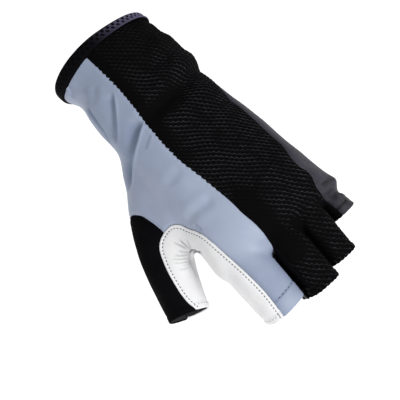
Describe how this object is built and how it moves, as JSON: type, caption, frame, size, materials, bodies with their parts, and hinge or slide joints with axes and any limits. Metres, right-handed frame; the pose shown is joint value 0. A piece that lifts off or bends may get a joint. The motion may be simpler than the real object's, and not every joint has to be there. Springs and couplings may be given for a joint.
{
  "type": "fingerless cycling glove",
  "caption": "Left fingerless cycling glove in its worn form: knit back, stretch side panel, leather palm and thumb crotch, elastic wrist band.",
  "frame": {"origin": "centre of the wrist opening, where the hand goes in", "axes": "+X from the wrist to the fingertips, +Y to the little finger side, +Z out of the back of the hand, with the palm down"},
  "size_m": [0.1682, 0.1026, 0.0563],
  "materials": {
    "elastic_band": "woven elastic with a slight sheen",
    "back_knit": "matte open-work knit",
    "side_stretch": "smooth satin stretch jersey",
    "black_stretch": "matte stretch fabric",
    "white_leather": "soft semi-matte leather with dotted topstitching",
    "palm_leather": "satin fine-grained synthetic leather"
  },
  "bodies": {
    "root": {"cuff_band": "elastic_band", "back_panel": "back_knit", "side_panel": "side_stretch", "thumb_panel": "black_stretch", "crotch_insert": "white_leather", "palm_panel": "palm_leather", "fourchette_index_middle": "black_stretch", "fourchette_middle_ring": "black_stretch", "fourchette_ring_little": "black_stretch"}
  },
  "joints": []
}
